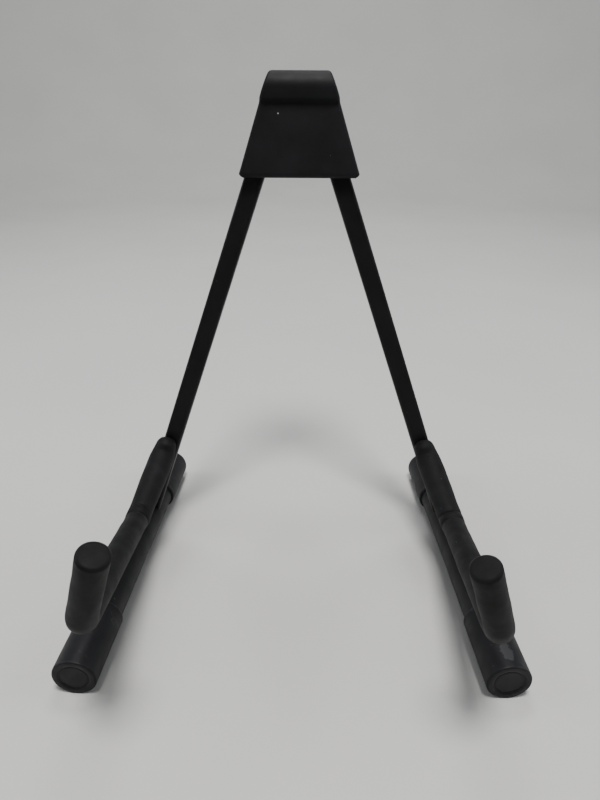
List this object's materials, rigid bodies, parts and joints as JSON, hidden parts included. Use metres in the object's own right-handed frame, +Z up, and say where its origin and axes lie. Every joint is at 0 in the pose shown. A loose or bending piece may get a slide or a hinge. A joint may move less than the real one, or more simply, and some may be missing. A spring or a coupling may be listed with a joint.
{
  "type": "guitar stand",
  "caption": "Low folding A-frame guitar stand: legs hinged under a padded head, foam-covered hooks rising at the front, and tubular feet with rubber boots.",
  "frame": {"origin": "on the floor, in the middle of the open stand's footprint", "axes": "+X to the right as seen from the front, +Y away from the front, +Z up; the hooks point towards -Y"},
  "size_m": [0.3726, 0.373, 0.4438],
  "materials": {
    "leg_paint": "satin black",
    "foam": "matt foam skin",
    "foot_sleeve": "fine-grained satin",
    "boot_rubber": "satin rubber",
    "pad_rubber": "satin rubber",
    "bare_steel": "plain",
    "fastener_steel": "blackened",
    "nylon": "plain"
  },
  "bodies": {
    "head": {"head_front_plate": "leg_paint", "head_rear_plate": "leg_paint", "head_pad": "pad_rubber", "head_rear_cover": "pad_rubber", "upper_spacer": "bare_steel", "lower_spacer": "bare_steel", "spacer_bolts": "fastener_steel", "spacer_nuts": "fastener_steel", "cover_screws": "fastener_steel", "left_pivot_bolt": "fastener_steel", "left_pivot_nut": "fastener_steel", "right_pivot_bolt": "fastener_steel", "right_pivot_nut": "fastener_steel"},
    "left_leg": {"left_leg_tube": "leg_paint", "left_hook_rod": "leg_paint", "left_hook_foam": "foam", "left_foot_tube": "leg_paint", "left_foot_sleeve": "foot_sleeve", "left_front_boot": "boot_rubber", "left_rear_boot": "boot_rubber", "left_pivot_bush": "bare_steel", "left_pivot_washers": "nylon"},
    "right_leg": {"right_leg_tube": "leg_paint", "right_hook_rod": "leg_paint", "right_hook_foam": "foam", "right_foot_tube": "leg_paint", "right_foot_sleeve": "foot_sleeve", "right_front_boot": "boot_rubber", "right_rear_boot": "boot_rubber", "right_pivot_bush": "bare_steel", "right_pivot_washers": "nylon"}
  },
  "joints": [
    {"name": "left_leg_fold", "type": "hinge", "parent": "head", "child": "left_leg", "pos_m": [-0.0203, 0.12937, 0.40983], "axis": [0, -0.9925, 0.1219], "range_deg": [0, 19.4]},
    {"name": "right_leg_fold", "type": "hinge", "parent": "head", "child": "right_leg", "pos_m": [0.0203, 0.12937, 0.40983], "axis": [0, 0.9925, -0.1219], "range_deg": [0, 19.4]}
  ]
}
